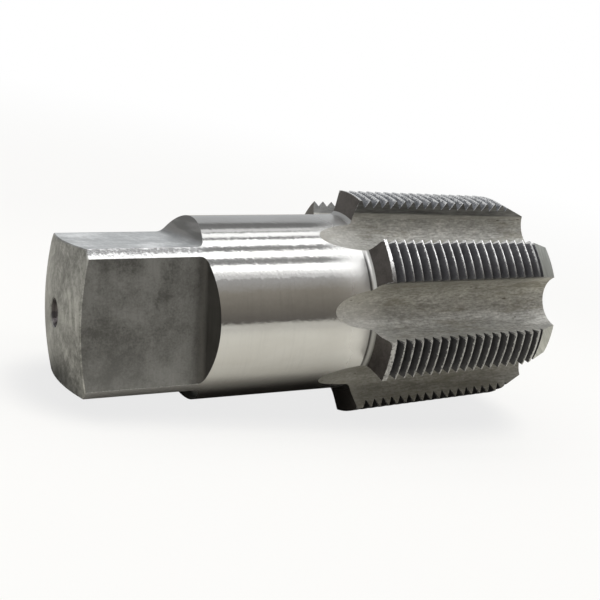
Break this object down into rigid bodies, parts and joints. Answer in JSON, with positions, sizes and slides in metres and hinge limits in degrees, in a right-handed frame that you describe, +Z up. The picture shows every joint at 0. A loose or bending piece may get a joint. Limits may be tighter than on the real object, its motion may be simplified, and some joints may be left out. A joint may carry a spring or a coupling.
{
  "type": "thread tap",
  "caption": "Taper pipe tap with straight cutting flutes, a plain round shank and a drive square, for cutting the thread inside a pipe fitting.",
  "frame": {"origin": "on the surface the tap lies on, under the middle of its length and width", "axes": "+Z up; +X towards the cutting end, whose axis rises 7 degrees because the tap lies on its thread; -Y is the side the picture shows"},
  "size_m": [0.11, 0.0488, 0.0509],
  "materials": {
    "steel": "ground and polished shank and lead, dull milled flutes, dark grey square and thread flanks"
  },
  "bodies": {
    "root": {"tap": "steel"}
  },
  "joints": []
}
